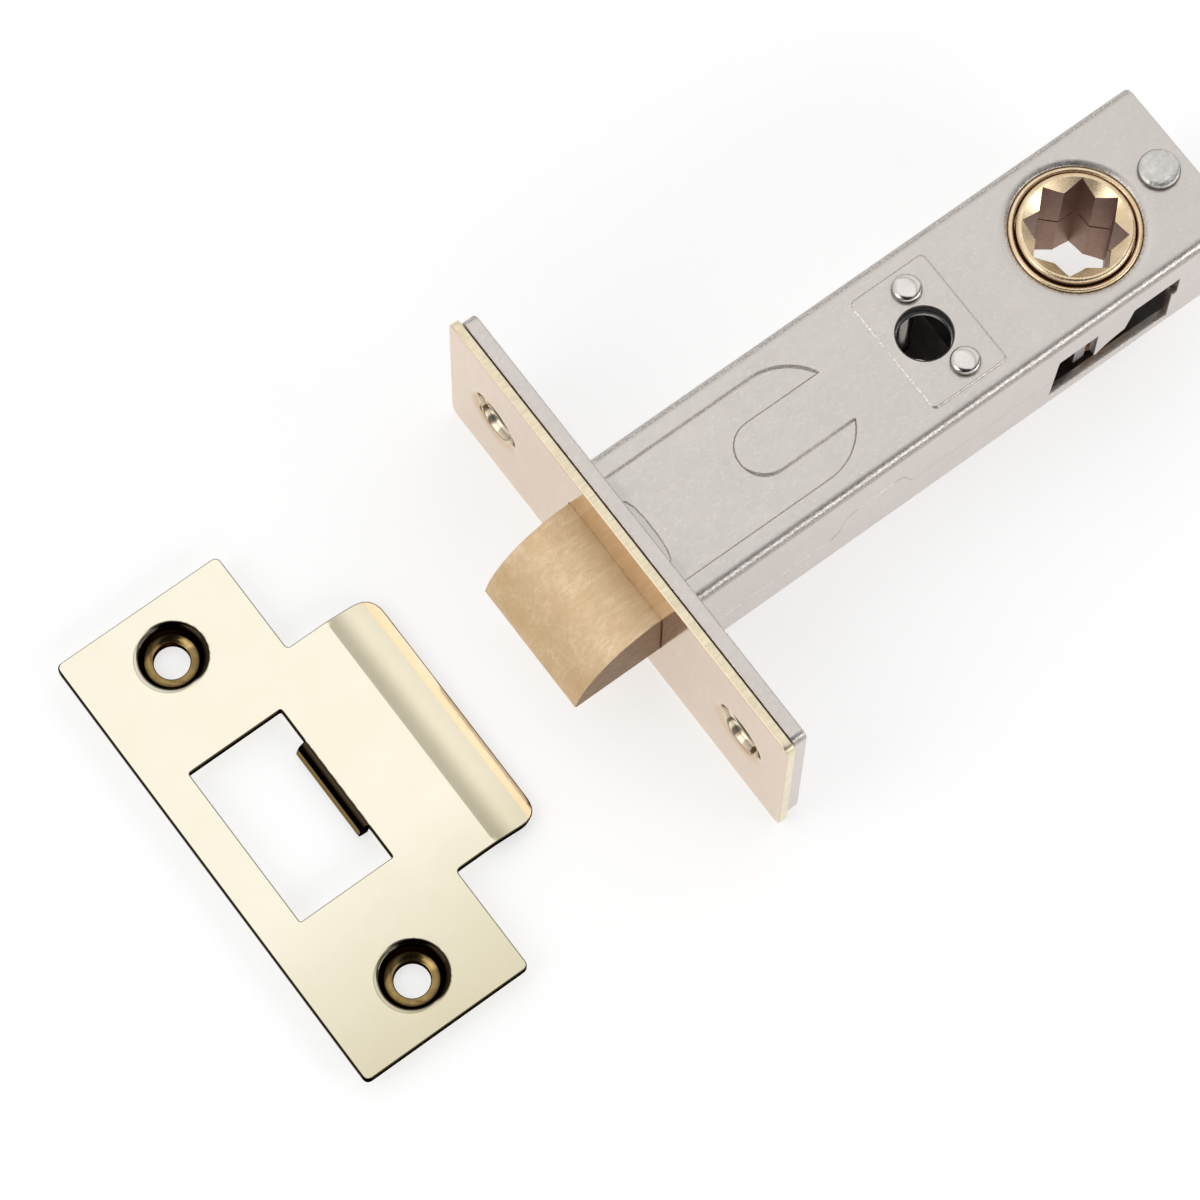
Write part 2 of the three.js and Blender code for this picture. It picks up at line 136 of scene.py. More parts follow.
def resampled(points, step, closed=True):
    """The outline with no stretch longer than step."""
    out = []
    count = len(points) if closed else len(points) - 1
    for i in range(count):
        a, b = Vector(points[i]), Vector(points[(i + 1) % len(points)])
        pieces = max(1, math.ceil((b - a).length / step))
        out += [tuple(a.lerp(b, k / pieces)) for k in range(pieces)]
    if not closed:
        out.append(tuple(points[-1]))
    return out


def inside(flat, loop):
    """Which of the flat points lie inside a closed outline."""
    x, y = flat[:, 0], flat[:, 1]
    hit = np.zeros(len(flat), bool)
    for (x0, y0), (x1, y1) in zip(loop, [*loop[1:], loop[0]]):
        if y0 != y1:
            crossing = (y0 > y) != (y1 > y)
            hit ^= crossing & (x < (x1 - x0) * (y - y0) / (y1 - y0) + x0)
    return hit


def distance(flat, line, closed=True):
    """How far each flat point is from an outline."""
    best = np.full(len(flat), 1e9)
    ends = [*line[1:], line[0]] if closed else line[1:]
    for a, b in zip(line, ends):
        a, d = np.array(a), np.array(b) - np.array(a)
        t = np.clip(((flat - a) @ d) / max(d @ d, 1e-12), 0, 1)
        best = np.minimum(best, np.linalg.norm(flat - a - t[:, None] * d, axis=1))
    return best


def smooth(t):
    t = np.clip(t, 0, 1)
    return t * t * (3 - 2 * t)


# ---- meshes
def linked(name, data):
    obj = bpy.data.objects.new(name, data)
    bpy.context.scene.collection.objects.link(obj)
    return obj


def new_object(name, points, faces, flip=False):
    """A mesh object from points in millimetres."""
    mesh = bpy.data.meshes.new(name)
    coords = np.asarray(points, float) * MM + np.array(ORIGIN)
    faces = [tuple(reversed(f)) for f in faces] if flip else faces
    mesh.from_pydata(coords.tolist(), [], faces)
    mesh.update()
    return linked(name, mesh)


def bake(obj):
    """Applies an object's modifiers to its mesh."""
    graph = bpy.context.evaluated_depsgraph_get()
    mesh = bpy.data.meshes.new_from_object(obj.evaluated_get(graph))
    old = obj.data
    obj.modifiers.clear()
    obj.data = mesh
    mesh.name = obj.name
    bpy.data.meshes.remove(old)
    return obj


def modifier(obj, kind, **settings):
    m = obj.modifiers.new(kind.lower(), kind)
    for key, value in settings.items():
        setattr(m, key, value)
    return m


def shaded(obj, angle):
    """Shades the faces smoothly, apart from edges sharper than an angle in degrees."""
    obj.data.polygons.foreach_set("use_smooth", [True] * len(obj.data.polygons))
    obj.data.set_sharp_from_angle(angle=math.radians(angle))
    return obj


def softened(obj, width=0.12, angle=35, segments=2):
    """Rounds the sharp edges, if given a width, and shades the faces smoothly between them."""
    if width:
        modifier(obj, "BEVEL", width=width * MM, segments=segments, limit_method="ANGLE",
                 angle_limit=math.radians(angle), miter_outer="MITER_ARC")
        bake(obj)
    modifier(shaded(obj, angle), "WEIGHTED_NORMAL", keep_sharp=True, weight=50)
    return bake(obj)


def boolean(obj, tool, operation):
    modifier(obj, "BOOLEAN", object=tool, operation=operation, solver="EXACT")
    bake(obj)
    bpy.data.objects.remove(tool)
    return obj


def drilled(obj, x, y, r, reach):
    """Cuts a round hole along Z, out to reach on both sides of the middle."""
    tool = turned("hole", [(0, -reach), (r, -reach), (r, reach), (0, reach)],
                  centre=(x, y, 0))
    return boolean(obj, tool, "DIFFERENCE")


def cleaned(obj, merge=False):
    """Joins an object's doubled points, if asked to, and turns its faces outwards."""
    bm = bmesh.new()
    bm.from_mesh(obj.data)
    if merge:
        bmesh.ops.remove_doubles(bm, verts=bm.verts, dist=1e-4 * MM)
    bmesh.ops.dissolve_degenerate(bm, dist=1e-5 * MM, edges=bm.edges)
    bmesh.ops.recalc_face_normals(bm, faces=bm.faces)
    bm.to_mesh(obj.data)
    bm.free()
    return obj


def open_line(points, step):
    """A feature line for a sheet, cut into stretches no longer than step."""
    return resampled(points, step, False), False


def closed_line(points, step):
    return resampled(points, step), True


def side_vectors(loop, sign):
    """Where each point of a closed outline goes for one unit outwards, or inwards."""
    p = np.array(loop)
    e = np.roll(p, -1, 0) - p
    area = (p[:, 0] * np.roll(p[:, 1], -1) - np.roll(p[:, 0], -1) * p[:, 1]).sum()
    n = np.column_stack([e[:, 1], -e[:, 0]]) / np.linalg.norm(e, axis=1)[:, None]
    n *= sign * np.sign(area)
    before = np.roll(n, 1, 0)
    return (n + before) / (1 + (n * before).sum(1))[:, None]


LINE_CLEAR = 0.3  # a feature line stops this far from the rims
GRID_CLEAR, ROW = 0.55, 0.87  # in steps: free room round lines, and from row to row
SUPPORT = 0.05  # a ring this far inside the rims keeps the faces' shading flat


def triangles(loops, lines, step):
    """A fine triangle mesh of a flat outline with holes, and where each loop's points are in
    it. The first loop is the outside, and the triangles follow the feature lines."""
    fixed = np.array([p for loop in loops for p in loop])
    coords, edges, rims = [], [], []
    for loop in loops:
        start, count = len(coords), len(loop)
        coords += map(tuple, loop)
        edges += [(start + i, start + (i + 1) % count) for i in range(count)]
        rims.append(range(start, start + count))

    def tree_of(points):
        tree = KDTree(len(points))
        for i, q in enumerate(points):
            tree.insert((q[0], q[1], 0), i)
        tree.balance()
        return tree

    def in_sheet(points):
        keep = inside(points, loops[0])
        for hole in loops[1:]:
            keep &= ~inside(points, hole)
        return keep

    def away(tree, points, reach):
        return np.array([tree.find((x, y, 0))[2] > reach for x, y in points])

    rim_tree = tree_of(fixed)
    for line, closed in lines:
        line = np.array(line)
        count, index = len(line), {}
        for i in np.flatnonzero(in_sheet(line) & away(rim_tree, line, LINE_CLEAR)):
            index[i] = len(coords)
            coords.append(tuple(line[i]))
        for i in range(count if closed else count - 1):
            j = (i + 1) % count
            if i in index and j in index:
                edges.append((index[i], index[j]))
    low, high = fixed.min(0), fixed.max(0)
    rows = np.arange(low[1] + step / 2, high[1], step * ROW)
    grid = np.array([(x + (i % 2) * step / 2, y) for i, y in enumerate(rows)
                     for x in np.arange(low[0] + step / 3, high[0], step)])
    grid = grid[away(tree_of(coords), grid, GRID_CLEAR * step) & in_sheet(grid)]
    points = [Vector(q) for q in [*coords, *grid.tolist()]]
    flat, _, faces, sources, *_ = delaunay_2d_cdt(points, edges, [], 0, 1e-6)
    flat = np.array([tuple(q) for q in flat])
    centres = np.array([flat[list(f)].mean(0) for f in faces])
    where = {old: new for new, olds in enumerate(sources) for old in olds}
    rims = [[where[i] for i in rim] for rim in rims]
    return flat, [tuple(f) for f, k in zip(faces, in_sheet(centres)) if k], rims


def sheet(name, loops, lines, step, place, thick, edge=0.15, flip=False, joined=None,
          steps=4, sharp=32, zone=None):
    """A pressed sheet with rounded rims. place turns flat points and their depths below the
    outer face into points in space, joined picks the rim points where the strip meets
    itself, and zone picks the flat points of the outer face that get the third material."""
    moves = [side_vectors(loop, 1 if i == 0 else -1) for i, loop in enumerate(loops)]
    if joined:
        free = ~joined(np.array(loops[0]))
        moves[0] = np.sign(moves[0].round(3)) * np.array([1, 0])
    margin = edge + SUPPORT
    inset = [(np.array(loop) - move * margin).tolist() for loop, move in zip(loops, moves)]
    flat, faces, rims = triangles(inset, lines, step)
    count = len(flat)
    points = [place(flat, 0.0), place(flat, thick)]
    outer = len(faces)
    look = np.zeros(outer, int)
    if zone:
        look[zone(np.array([flat[list(f)].mean(0) for f in faces]))] = 2
    looks = [look, np.ones(outer, int)]
    faces = faces + [tuple(count + i for i in reversed(f)) for f in faces]
    angles = [math.pi / 2 * k / steps for k in range(steps + 1)]
    rings = [(edge * (math.sin(a) - 1), edge * (1 - math.cos(a))) for a in angles]
    rings += [(t, thick - d) for t, d in reversed(rings)]
    total = 2 * count
    for k, (loop, move, rim) in enumerate(zip(loops, moves, rims)):
        size = len(loop)
        levels = [list(rim)]
        for t, depth in rings:
            points.append(place(np.array(loop) + move * t, depth))
            levels.append(list(range(total, total + size)))
            total += size
        levels.append([count + i for i in rim])
        marked = zone(np.array(loop)) if zone else np.zeros(size, bool)
        for upper, lower in zip(levels, levels[1:]):
            for i in range(size):
                j = (i + 1) % size
                if k == 0 and joined and not (free[i] or free[j]):
                    continue
                faces.append((upper[i], lower[i], lower[j], upper[j]))
                looks.append([2 if marked[i] else 0])
    obj = new_object(name, np.vstack(points), faces, flip)
    obj.data.polygons.foreach_set("material_index", np.concatenate(looks))
    return softened(cleaned(obj, merge=True), 0, sharp)


def tube_faces(rings, sides, closed=False):
    """Quads from ring to ring of points, and from the last to the first if closed."""
    faces = []
    for i in range(rings if closed else rings - 1):
        a, b = i * sides, (i + 1) % rings * sides
        for k in range(sides):
            m = (k + 1) % sides
            faces.append((a + k, a + m, b + m, b + k))
    return faces


def turned(name, profile, axis="z", centre=(0, 0, 0), sides=64, ring=False):
    """A profile of (radius, height) points turned about an axis. It starts and ends on the
    axis, or is a closed ring."""
    angles = [2 * math.pi * k / sides for k in range(sides)]
    coords = np.array([(r * math.cos(a), r * math.sin(a), h) for r, h in profile
                       for a in angles])
    if axis == "x":
        coords = coords[:, [2, 0, 1]]
    faces = tube_faces(len(profile), sides, ring)
    return cleaned(new_object(name, coords + np.array(centre), faces), merge=True)


AXES = {"x": (2, 0, 1), "y": (0, 2, 1), "z": (0, 1, 2)}


def prism(name, outline, axis, low, high):
    """An outline pushed along an axis. Its directions are y, z; x, z; or x, y."""
    count = len(outline)
    ends = [[(*p, h) for p in outline] for h in (low, high)]
    points = np.array(ends[0] + ends[1])[:, AXES[axis]]
    faces = [tuple(range(count)), tuple(range(count, 2 * count))]
    faces += [(i, (i + 1) % count, count + (i + 1) % count, count + i) for i in range(count)]
    return cleaned(new_object(name, points, faces))


def coil(name, start, end, y, r, wire, turns, sides=12, steps=28):
    """A compression spring along X with closed, ground ends."""
    closed = 1.25
    total = turns + 2 * closed
    samples = int(total * steps)
    pitch_open = (end - start - 2 * closed * wire - wire) / turns
    points = []
    for i in range(samples + 1):
        n = total * i / samples
        low = min(n, closed)
        middle = min(max(n - closed, 0), turns)
        high = max(n - closed - turns, 0)
        x = start + wire / 2 + (low + high) * wire + middle * pitch_open
        a = 2 * math.pi * n
        out = Vector((0, math.cos(a), math.sin(a)))
        along = Vector((pitch_open / (2 * math.pi * r), -math.sin(a), math.cos(a))).normalized()
        side = along.cross(out)
        for k in range(sides):
            b = 2 * math.pi * k / sides
            p = Vector((x, y, 0)) + out * (r + wire / 2 * math.cos(b)) + side * (
                wire / 2 * math.sin(b))
            points.append((min(max(p.x, start), end), p.y, p.z))
    faces = tube_faces(samples + 1, sides)
    faces += [tuple(range(sides)), tuple(samples * sides + k for k in range(sides))]
    return shaded(cleaned(new_object(name, points, faces)), 60)


# ---- node trees
class Nodes:
    """The node tree of a material or the world, with short calls for the nodes they share."""

    def __init__(self, owner):
        owner.use_nodes = True
        self.tree = owner.node_tree
        self.places = self.node("ShaderNodeTexCoord").outputs

    def node(self, kind, **inputs):
        node = self.tree.nodes.new(kind)
        for key, value in inputs.items():
            self.feed(node.inputs[key.replace("_", " ")], value)
        return node

    def feed(self, socket, value):
        if isinstance(value, bpy.types.NodeSocket):
            self.tree.links.new(value, socket)
        else:
            socket.default_value = value

    def axis(self, vector, index):
        return self.node("ShaderNodeSeparateXYZ", Vector=vector).outputs[index]

    def noise(self, vector, scale, detail, rough):
        return self.node("ShaderNodeTexNoise", Vector=vector, Scale=scale, Detail=detail,
                         Roughness=rough).outputs["Fac"]

    def streaks(self, scale, detail, rough):
        """Noise on the object's coordinates, with a scale in repeats per metre per axis."""
        place = self.node("ShaderNodeMapping", Vector=self.places["Object"], Scale=scale)
        return self.noise(place.outputs[0], 1.0, detail, rough)

    def ranged(self, value, low=0.0, high=1.0, start=0.3, end=0.7):
        """A value between start and end brought between low and high, and held there."""
        return self.node("ShaderNodeMapRange", Value=value, From_Min=start, From_Max=end,
                         To_Min=low, To_Max=high).outputs[0]

    def maths(self, operation, a, b=0.0):
        node = self.node("ShaderNodeMath")
        node.operation = operation
        self.feed(node.inputs[0], a)
        self.feed(node.inputs[1], b)
        return node.outputs[0]

    def times(self, a, b):
        return self.maths("MULTIPLY", a, b)

    def plus(self, a, b):
        return self.maths("ADD", a, b)

    def mixed(self, factor, a, b, blend="MIX"):
        node = self.node("ShaderNodeMix")
        node.data_type, node.blend_type = "RGBA", blend
        for socket, value in ((0, factor), (6, a), (7, b)):
            self.feed(node.inputs[socket], (*value, 1) if isinstance(value, tuple) else value)
        return node.outputs[2]

    def tinted(self, a, b):
        return self.mixed(1.0, a, b, "MULTIPLY")

    def ramp(self, value, stops, curve="LINEAR"):
        """Colours or greys over a value from 0 to 1."""
        node = self.node("ShaderNodeValToRGB")
        node.color_ramp.interpolation = curve
        self.feed(node.inputs[0], value)
        elements = node.color_ramp.elements
        elements[0].position, elements[1].position = stops[0][0], stops[-1][0]
        for place, _ in stops[1:-1]:
            elements.new(place)
        for element, (_, colour) in zip(elements, stops):
            element.color = (*(colour if isinstance(colour, tuple) else (colour,) * 3), 1)
        return node.outputs[0]


# ---- camera, light and floor
AZIMUTH, ELEVATION = math.radians(-38.2), math.radians(71.2)
CAMERA_BACK = Vector((math.sin(AZIMUTH) * math.cos(ELEVATION),
                      -math.cos(AZIMUTH) * math.cos(ELEVATION), math.sin(ELEVATION)))
CAMERA_ROLL, CAMERA_LENS, CAMERA_DISTANCE = math.radians(1.7), 173.3, 0.5996


def make_camera():
    """Looks down on the forend's middle from in front, a little turned about its own axis."""
    target = ORIGIN + Vector((-2.8, -1.2, 0)) * MM
    data = bpy.data.cameras.new("camera")
    data.lens, data.sensor_width = CAMERA_LENS, 36
    data.clip_start, data.clip_end = 0.05, 20
    camera = linked("camera", data)
    camera.location = target + CAMERA_BACK * CAMERA_DISTANCE
    turn = (-CAMERA_BACK).to_track_quat("-Z", "Y") @ Quaternion((0, 0, 1), CAMERA_ROLL)
    camera.rotation_mode = "QUATERNION"
    camera.rotation_quaternion = turn
    bpy.context.scene.camera = camera


def area_light(name, place, aim, size, watts):
    data = bpy.data.lights.new(name, "AREA")
    data.shape, data.size, data.size_y = "RECTANGLE", size[0], size[1]
    data.energy = watts
    light = linked(name, data)
    light.location = place
    light.rotation_euler = (Vector(aim) - Vector(place)).to_track_quat("-Z", "Y").to_euler()


def make_world():
    """A light tent: white overhead, a darker gap between its panels towards the rear, and
    softer light from the ends."""
    world = bpy.data.worlds.new("studio")
    bpy.context.scene.world = world
    n = Nodes(world)
    around = n.places["Generated"]

    def panels(axis, stops):
        """Light over the top along an axis, from 0 at one horizon to 1 at the other."""
        angle = n.maths("ARCTAN2", n.axis(around, axis), n.axis(around, 2))
        return n.ramp(n.ranged(angle, 0.0, 1.0, -math.pi / 2, math.pi / 2), stops, "EASE")

    # From the strike's side to the rear of the case, and from the near side to the far side.
    across = panels(0, [(0.0, 0.72), (0.2, 0.96), (0.38, 0.86), (0.50, 1.06), (0.60, 1.12),
                        (0.652, 0.56), (0.70, 1.03), (0.78, 0.88), (0.86, 1.0), (1.0, 0.72)])
    along = panels(1, [(0.0, 0.30), (0.07, 0.35), (0.13, 1.45), (0.19, 1.35), (0.26, 0.20),
                       (0.38, 0.25), (0.45, 1.02), (0.62, 1.02), (0.85, 0.88), (1.0, 0.72)])
    # The dark place that the camera stands in.
    toward = n.node("ShaderNodeVectorMath")
    toward.operation = "DOT_PRODUCT"
    n.feed(toward.inputs[0], around)
    n.feed(toward.inputs[1], CAMERA_BACK)
    dark = n.ramp(toward.outputs["Value"], [(0.0, 1.0), (0.91, 1.0), (0.955, 0.10),
                                            (1.0, 0.03)], "EASE")
    n.feed(n.tree.nodes["Background"].inputs["Color"], n.tinted(n.tinted(across, along), dark))


def make_studio():
    make_world()
    area_light("window_panel", (-0.50, 0.10, 0.55), (0, 0, 0), (0.30, 0.50), 0.55)
    area_light("rear_panel", (0.35, -0.50, 0.30), (0, 0, 0.01), (0.40, 0.20), 0.6)
    bpy.context.scene.view_settings.view_transform = "Standard"

    reach = 3.0
    mesh = bpy.data.meshes.new("floor")
    mesh.from_pydata([(-reach, -reach, 0), (reach, -reach, 0), (reach, reach, 0),
                      (-reach, reach, 0)], [], [(0, 1, 2, 3)])
    floor = linked("floor", mesh)
    floor.location.z = -0.0002
    look = bpy.data.materials.new("floor")
    look.use_nodes = True
    shader = look.node_tree.nodes["Principled BSDF"]
    for key, value in (("Base Color", (0.50, 0.50, 0.50, 1)), ("Roughness", 0.9),
                       ("Specular IOR Level", 0.0), ("Emission Color", (1, 1, 1, 1)),
                       ("Emission Strength", 0.62)):
        shader.inputs[key].default_value = value
    mesh.materials.append(look)


# ---- materials
SCORES = (500, 2500, 3500)  # repeats per metre of the scores on the side faces
SPECKS, SPECK_COLOUR = 5200, (0.30, 0.28, 0.27)  # of dark specks on the bends: repeats per metre, and colour


def metal(name, colour, darker, roughness, grain, brush=None, brush_depth=0.0,
          blotch=220.0, grain_depth=0.004, side_colour=None, side_axis=2,
          side_range=(0.62, 0.35), side_rough=0.5, side_scores=0.45, leaning=None,
          leftward=None, painted_end_shade=None, speckled=0.0, dark_sides=False):
    """A metal with soft mottling, fine grain in its roughness and height, and, where brush
    gives repeats per metre along each axis, drawn or brushed streaks. side_colour goes on the
    faces whose normal leans away from side_axis: lighter cream on the forend's sheared edges, a
    darker brown on the bolt's sides, and painted shade on the follower's walls and the rivet
    heads' flanks. leaning paints light and shade by how far a face leans from that axis, as
    painted reflections, highlights and dark bands, and leftward paints shade and a highlight by
    how far it turns against X. fade paints shade towards one end. speckled lays dark specks over
    the bends, and dark_sides paints shade into the steep faces' reflections."""
    material = bpy.data.materials.new(name)
    n = Nodes(material)
    shader = n.tree.nodes["Principled BSDF"].inputs
    coords, normal = n.places["Object"], n.places["Normal"]
    fine = n.noise(coords, grain, 2.0, 0.6)
    shade = n.ranged(n.noise(coords, blotch, 3.0, 0.55))
    rough = n.ranged(fine, *roughness)
    height = fine
    if brush:
        streaks = n.streaks(brush, 4.0, 0.65)
        broad = n.streaks([b / 4 for b in brush], 2.0, 0.5)
        shade = n.times(shade, n.ranged(broad, 0.3, 1.0, 0.35, 0.65))
        shade = n.times(shade, n.ranged(streaks, 0.35, 1.0, 0.35, 0.65))
        rough = n.plus(rough, n.ranged(streaks, -0.05, 0.08))
        height = n.plus(height, n.times(streaks, brush_depth))
    base = n.mixed(shade, darker, colour)
    lean = n.maths("ABSOLUTE", n.axis(normal, side_axis))
    # Painted shade: the colour darkens towards one end along Y.
    if painted_end_shade:
        start, end, far = painted_end_shade
        along = n.ranged(n.axis(coords, 1), 0.0, 1.0, start, end)
        base = n.tinted(base, n.ramp(along, [(0.0, (1, 1, 1)), (1.0, far)]))
    # Painted light and shade by how far a face leans: painted reflections, highlights and dark
    # bands.
    if leaning:
        tint = n.ramp(lean, leaning)
        # Painted shade and a painted highlight by how far a face turns against X.
        if leftward:
            turned_left = n.ranged(n.axis(normal, 0), 1.0, 0.0, -1.0, 1.0)
            tint = n.tinted(tint, n.ramp(turned_left, leftward))
        # Dark specks over the bends, across the painted highlight there.
        if speckled:
            specks = n.ranged(n.noise(coords, SPECKS, 2.0, 0.6), 0.0, 1.0, 0.44, 0.50)
            bend = n.times(n.ranged(lean, 0.0, 1.0, 0.97, 0.90),
                           n.ranged(lean, 0.0, 1.0, 0.30, 0.60))
            tint = n.mixed(n.times(n.times(bend, specks), speckled), tint, SPECK_COLOUR)
        base = n.tinted(base, tint)
    # The side faces' colour; on the follower and the rivets it is painted shade.
    if side_colour:
        side = n.ranged(lean, 0.0, 1.0, *side_range)
        scored = n.ranged(n.streaks(SCORES, 4.0, 0.7), 0.0, 1.0, 0.35, 0.65)
        scratch = tuple(side_scores * c for c in side_colour)
        base = n.mixed(side, base, n.mixed(scored, scratch, side_colour))
        rough = n.plus(rough, n.times(side, side_rough - roughness[1]))
    # Painted shade: a black specular tint darkens the reflections of steep faces.
    if dark_sides:
        glance = n.ranged(lean, 0.0, 1.0, 0.35, 0.90)
        n.feed(shader["Specular Tint"], n.mixed(glance, (0, 0, 0), (1, 1, 1)))
    bump = n.node("ShaderNodeBump", Height=height, Distance=grain_depth * MM)
    n.feed(shader["Base Color"], base)
    n.feed(shader["Roughness"], rough)
    n.feed(shader["Normal"], bump.outputs[0])
    n.feed(shader["Metallic"], 1.0)
    return material


def band(start, end, colour):
    """Two stops of a ramp with one colour between them."""
    return [(start, colour), (end, colour)]


def make_looks():
    return {
        "forend": metal("polished_brass_forend", (0.76, 0.60, 0.455), (0.70, 0.54, 0.40),
                        (0.10, 0.16), 2500, brush=(400, 5000, 700), brush_depth=0.5,
                        grain_depth=0.003, side_colour=(0.93, 0.82, 0.60), side_axis=0,
                        side_range=(0.45, 0.15), side_rough=0.35, side_scores=0.8),
        # Painted light: black on edges, steep walls and faces turned to -X, olive on the tang,
        # painted bluish and white reflections, shade towards one end.
        "strike": metal("polished_brass_strike", (0.895, 0.84, 0.70), (0.875, 0.82, 0.665),
                        (0.06, 0.10), 1500, grain_depth=0.0008,
                        leaning=band(0.0, 0.13, (0.03, 0.024, 0.015))
                        + band(0.20, 0.30, (0.36, 0.29, 0.18))
                        + band(0.40, 0.78, (0.02, 0.016, 0.01))
                        + [(0.88, (0.40, 0.37, 0.30)), (0.93, (0.82, 0.85, 0.92)),
                           (0.957, (0.88, 0.92, 1.0)), (0.961, (0.93, 0.92, 0.87)),
                           (0.99, (1.0, 0.96, 0.86)), (0.998, (1, 1, 1))],
                        leftward=band(0.0, 0.52, (1, 1, 1)) + band(0.56, 0.96,
                                                                   (0.04, 0.03, 0.02))
                        + band(0.975, 1.0, (1.3, 1.3, 1.4)),
                        painted_end_shade=(-0.006, -0.026, (0.76, 0.74, 0.65)), dark_sides=True),
        # Painted shade and reflections in the strike's screw seats: darkened gold, black sloping
        # walls.
        "sink": metal("painted_shade_seat", (0.40, 0.28, 0.11), (0.26, 0.17, 0.06),
                      (0.10, 0.18), 3000, blotch=900, dark_sides=True,
                      leaning=band(0.0, 0.12, (0.5, 0.45, 0.35))
                      + band(0.25, 0.86, (0.03, 0.02, 0.01)) + band(0.93, 1.0, (1, 1, 1))),
        # Painted shade and a painted highlight in the forend's screw seats: dark walls and
        # floor, a white ring between.
        "dimple": metal("forend_dimple", (0.86, 0.76, 0.58), (0.74, 0.62, 0.44),
                        (0.08, 0.16), 3000, blotch=900, side_axis=0, dark_sides=True,
                        leaning=band(0.0, 0.30, (0.06, 0.05, 0.04))
                        + band(0.50, 0.80, (1, 1, 1)) + band(0.92, 1.0, (0.10, 0.08, 0.06))),
        "bolt": metal("brushed_brass", (0.96, 0.78, 0.55), (0.70, 0.50, 0.29),
                      (0.32, 0.44), 8000, brush=(900, 9000, 9000), brush_depth=3.0,
                      grain_depth=0.018, blotch=300, side_colour=(0.36, 0.22, 0.12),
                      side_axis=1, side_range=(0.5, 0.9)),
        # side_colour paints shade on the walls of the star-shaped bore and the other upright
        # faces.
        "follower": metal("faced_brass", (0.95, 0.77, 0.54), (0.80, 0.60, 0.36),
                          (0.20, 0.34), 5000, blotch=700, grain_depth=0.010,
                          side_colour=(0.36, 0.21, 0.15), side_range=(0.35, 0.15),
                          side_scores=0.7),
        # leaning paints a highlight along the rounded corners and pressed steps, with a painted
        # dark band beside it.
        "nickel": metal("satin_nickel", (0.72, 0.67, 0.635), (0.67, 0.625, 0.59),
                        (0.27, 0.39), 4600, brush=(1500, 2600, 2600), brush_depth=0.5,
                        grain_depth=0.008,
                        leaning=band(0.0, 0.20, (0.97, 0.95, 0.95))
                        + [(0.45, (0.70, 0.68, 0.66)), (0.72, (1.0, 1.0, 1.0)),
                           (0.88, (1.10, 1.10, 1.10))] + band(0.97, 1.0, (1, 1, 1)),
                        speckled=0.5),
        # Painted shade: near black on the case's inner face and its through hole's wall.
        "inside": metal("painted_shade_steel", (0.13, 0.125, 0.12), (0.07, 0.065, 0.06),
                        (0.45, 0.60), 3800, blotch=500, grain_depth=0.012),
        "zinc": metal("bright_zinc", (0.60, 0.59, 0.58), (0.42, 0.41, 0.41),
                      (0.28, 0.44), 4200, blotch=500, grain_depth=0.010),
        "wire": metal("spring_wire", (0.40, 0.40, 0.41), (0.22, 0.22, 0.23),
                      (0.25, 0.40), 5000, blotch=900, grain_depth=0.006),
        # side_colour paints shade on the flanks of the domed heads.
        "rivet": metal("rivet_steel", (0.76, 0.73, 0.69), (0.66, 0.63, 0.60),
                       (0.10, 0.18), 4500, blotch=600, grain_depth=0.003,
                       side_colour=(0.26, 0.24, 0.21), side_range=(0.85, 0.40),
                       side_rough=0.25, side_scores=0.8),
        # side_colour paints shade on the flank of the rear rivet's head.
        "stamped": metal("stamped_steel", (0.92, 0.90, 0.87), (0.62, 0.60, 0.57),
                         (0.25, 0.40), 2600, brush=(2600, 2600, 0), brush_depth=0.4,
                         blotch=1500, grain_depth=0.05,
                         side_colour=(0.22, 0.20, 0.18), side_range=(0.85, 0.40)),
    }


def settle(obj, look, body, *nodes, within=None, sunk=None):
    """Gives a piece its look and its body, and hides the CAD nodes that it stands for. within
    is the look of a sheet's inner face, and sunk that of its marked zone."""
    several = any(face.material_index for face in obj.data.polygons)
    for name in (look, within or look, sunk or look) if several else (look,):
        obj.data.materials.append(LOOKS[name])
    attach(obj, body)
    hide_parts(*nodes)
    return obj


# ---- forends
SINK = [(0, 1.52), (1.95, 1.50), (2.3, 1.44), (2.9, 1.24), (3.02, 1.14), (3.12, 0.92),
        (3.3, 0.48), (3.42, 0.30), (3.6, 0.16), (3.8, 0.07), (4.0, 0.02), (4.2, 0), (99, 0)]
SINK_EDGE = 3.34  # where the wall begins


def sunk(flat, centres):
    """How far the pressed screw seats take each point below the face."""
    radii, depths = zip(*SINK)
    return sum(np.interp(np.linalg.norm(flat - np.array(c), axis=1), radii, depths)
               for c in centres)


def seat_lines(centres):
    return [(circle(*c, r, 72), True) for c in centres for r, _ in SINK[2:-1]]


def seat_zone(centres):
    """Which flat points lie in the screw seats' walls and floors."""
    def test(flat):
        return np.any([np.linalg.norm(flat - np.array(c), axis=1) < SINK_EDGE
                       for c in centres], axis=0)
    return test


def make_outer_forend():
    y, z, x = FOREND_HIGH.y, FOREND_HIGH.z, FOREND_LOW.x
    centres = [(-SCREW_Y, 0), (SCREW_Y, 0)]
    gap = 0.10
    way = rounded_box(-BOLT_Y - gap, BOLT_Y + gap, -BOLT_Z - gap, BOLT_Z + gap, 0.3)
    loops = [resampled(rounded_box(-y, y, -z, z, 1.0), 0.8), resampled(way, 0.6)]
    loops += [circle(*c, SCREW_HOLE_R, 64) for c in centres]

    def place(flat, depth):
        return np.column_stack([x + depth + sunk(flat, centres), flat[:, 0], flat[:, 1]])

    obj = sheet("outer_forend_plate", loops, seat_lines(centres), 1.0, place,
                FOREND_PLATE, 0.14, flip=True, zone=seat_zone(centres))
    settle(obj, "forend", "latch_case", "outer_forend", sunk="dimple")


